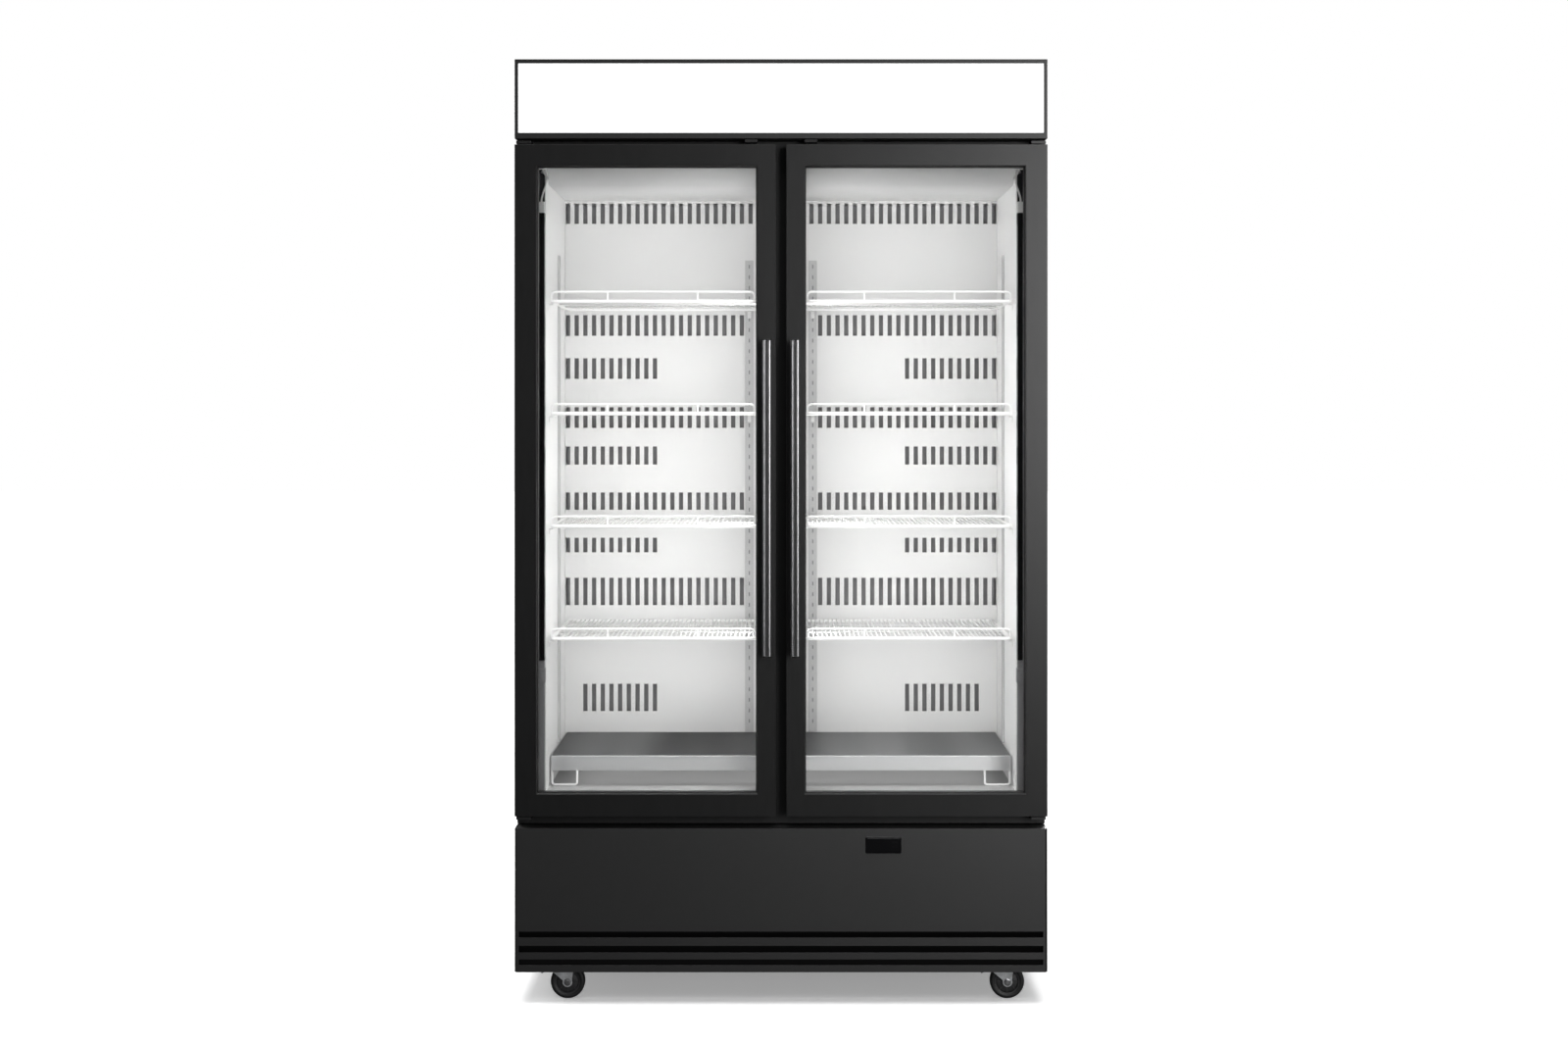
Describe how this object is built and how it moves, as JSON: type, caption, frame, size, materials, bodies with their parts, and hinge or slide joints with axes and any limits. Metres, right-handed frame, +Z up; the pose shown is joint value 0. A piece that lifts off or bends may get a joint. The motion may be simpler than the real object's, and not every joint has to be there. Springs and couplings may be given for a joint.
{
  "type": "glass door merchandiser",
  "caption": "Upright double-door display refrigerator with glass doors, lit header, wire shelves, lower machine fascia and swivel castors.",
  "frame": {"origin": "centre of the footprint of the whole object, at the floor", "axes": "+Z up; -Y towards the doors; +X towards the right-hand door seen from the front"},
  "size_m": [1.14, 0.705, 2.027],
  "materials": {
    "insulated_panel_black": "satin",
    "insulated_panel_white": "satin",
    "liner_white": "satin",
    "breaker_black": "satin",
    "black_plastic": "gloss",
    "grey_plastic": "matte",
    "wire_white": "gloss",
    "stainless": "satin",
    "black_steel": "satin",
    "header_diffuser": "satin",
    "lamp_white": "satin",
    "charcoal_steel": "satin",
    "aluminium_satin": "satin",
    "door_frame_black": "satin",
    "door_glass": "polished",
    "gasket_rubber": "matte",
    "zinc_steel": "satin",
    "tyre_rubber": "matte"
  },
  "bodies": {
    "cabinet": {"side_panel_left": "insulated_panel_black", "side_panel_right": "insulated_panel_black", "rear_panel": "insulated_panel_black", "roof_panel": "insulated_panel_white", "floor_panel": "insulated_panel_white", "liner": "liner_white", "duct_panel": "liner_white", "side_post_left": "liner_white", "side_post_right": "liner_white", "rear_post_left": "liner_white", "rear_post_right": "liner_white", "front_frame": "breaker_black", "led_bar_left": "black_plastic", "led_bar_right": "black_plastic", "controller": "black_plastic", "led_lead_left": "grey_plastic", "led_lead_right": "grey_plastic", "evaporator_case": "grey_plastic", "shelf_left_1": "wire_white", "shelf_left_2": "wire_white", "shelf_left_3": "wire_white", "shelf_left_4": "wire_white", "shelf_right_1": "wire_white", "shelf_right_2": "wire_white", "shelf_right_3": "wire_white", "shelf_right_4": "wire_white", "deck_stand": "wire_white", "base_deck": "stainless", "header_case": "black_steel", "base_frame": "black_steel", "condenser_fan_shroud": "black_steel", "compressor": "black_steel", "rear_cover": "black_steel", "header_panel": "header_diffuser", "header_lamp": "lamp_white", "lower_fascia": "charcoal_steel", "condenser_coil": "aluminium_satin", "hinge_top_left": "zinc_steel", "hinge_top_right": "zinc_steel", "hinge_bottom_left": "zinc_steel", "hinge_bottom_right": "zinc_steel"},
    "door_left": {"door_left_frame": "door_frame_black", "door_left_glass": "door_glass", "door_left_handle": "aluminium_satin", "door_left_gasket": "gasket_rubber"},
    "door_right": {"door_right_frame": "door_frame_black", "door_right_glass": "door_glass", "door_right_handle": "aluminium_satin", "door_right_gasket": "gasket_rubber"},
    "castor_front_left": {"castor_fork_front_left": "zinc_steel"},
    "wheel_front_left": {"castor_wheel_front_left": "tyre_rubber"},
    "brake_left": {"brake_pedal_left": "grey_plastic"},
    "castor_front_right": {"castor_fork_front_right": "zinc_steel"},
    "wheel_front_right": {"castor_wheel_front_right": "tyre_rubber"},
    "brake_right": {"brake_pedal_right": "grey_plastic"},
    "castor_rear_left": {"castor_fork_rear_left": "zinc_steel"},
    "wheel_rear_left": {"castor_wheel_rear_left": "tyre_rubber"},
    "castor_rear_right": {"castor_fork_rear_right": "zinc_steel"},
    "wheel_rear_right": {"castor_wheel_rear_right": "tyre_rubber"},
    "condenser_fan": {"condenser_fan_blade": "aluminium_satin"}
  },
  "joints": [
    {"name": "door_left_swing", "type": "hinge", "parent": "cabinet", "child": "door_left", "pos_m": [-0.55, -0.2825, 1.1265], "axis": [0, 0, -1], "range_deg": [0, 100], "stiffness_Nm_per_rad": 3, "springref_deg": -17.19},
    {"name": "door_right_swing", "type": "hinge", "parent": "cabinet", "child": "door_right", "pos_m": [0.55, -0.2825, 1.1265], "axis": [0, 0, 1], "range_deg": [0, 100], "stiffness_Nm_per_rad": 3, "springref_deg": -17.19},
    {"name": "castor_front_left_swivel", "type": "hinge", "parent": "cabinet", "child": "castor_front_left", "pos_m": [-0.477, -0.2225, 0.086], "axis": [0, 0, 1], "continuous": true},
    {"name": "wheel_front_left_roll", "type": "hinge", "parent": "castor_front_left", "child": "wheel_front_left", "pos_m": [-0.463, -0.2225, 0.03718], "axis": [0, 1, 0], "continuous": true},
    {"name": "brake_left_press", "type": "hinge", "parent": "castor_front_left", "child": "brake_left", "pos_m": [-0.498, -0.2225, 0.066], "axis": [0, -1, 0], "range_deg": [0, 20]},
    {"name": "castor_front_right_swivel", "type": "hinge", "parent": "cabinet", "child": "castor_front_right", "pos_m": [0.477, -0.2225, 0.086], "axis": [0, 0, 1], "continuous": true},
    {"name": "wheel_front_right_roll", "type": "hinge", "parent": "castor_front_right", "child": "wheel_front_right", "pos_m": [0.491, -0.2225, 0.03718], "axis": [0, 1, 0], "continuous": true},
    {"name": "brake_right_press", "type": "hinge", "parent": "castor_front_right", "child": "brake_right", "pos_m": [0.456, -0.2225, 0.066], "axis": [0, -1, 0], "range_deg": [0, 20]},
    {"name": "castor_rear_left_swivel", "type": "hinge", "parent": "cabinet", "child": "castor_rear_left", "pos_m": [-0.477, 0.2675, 0.086], "axis": [0, 0, 1], "continuous": true},
    {"name": "wheel_rear_left_roll", "type": "hinge", "parent": "castor_rear_left", "child": "wheel_rear_left", "pos_m": [-0.463, 0.2675, 0.03718], "axis": [0, 1, 0], "continuous": true},
    {"name": "castor_rear_right_swivel", "type": "hinge", "parent": "cabinet", "child": "castor_rear_right", "pos_m": [0.477, 0.2675, 0.086], "axis": [0, 0, 1], "continuous": true},
    {"name": "wheel_rear_right_roll", "type": "hinge", "parent": "castor_rear_right", "child": "wheel_rear_right", "pos_m": [0.491, 0.2675, 0.03718], "axis": [0, 1, 0], "continuous": true},
    {"name": "condenser_fan_spin", "type": "hinge", "parent": "cabinet", "child": "condenser_fan", "pos_m": [-0.17, -0.1595, 0.222], "axis": [0, 1, 0], "continuous": true}
  ]
}
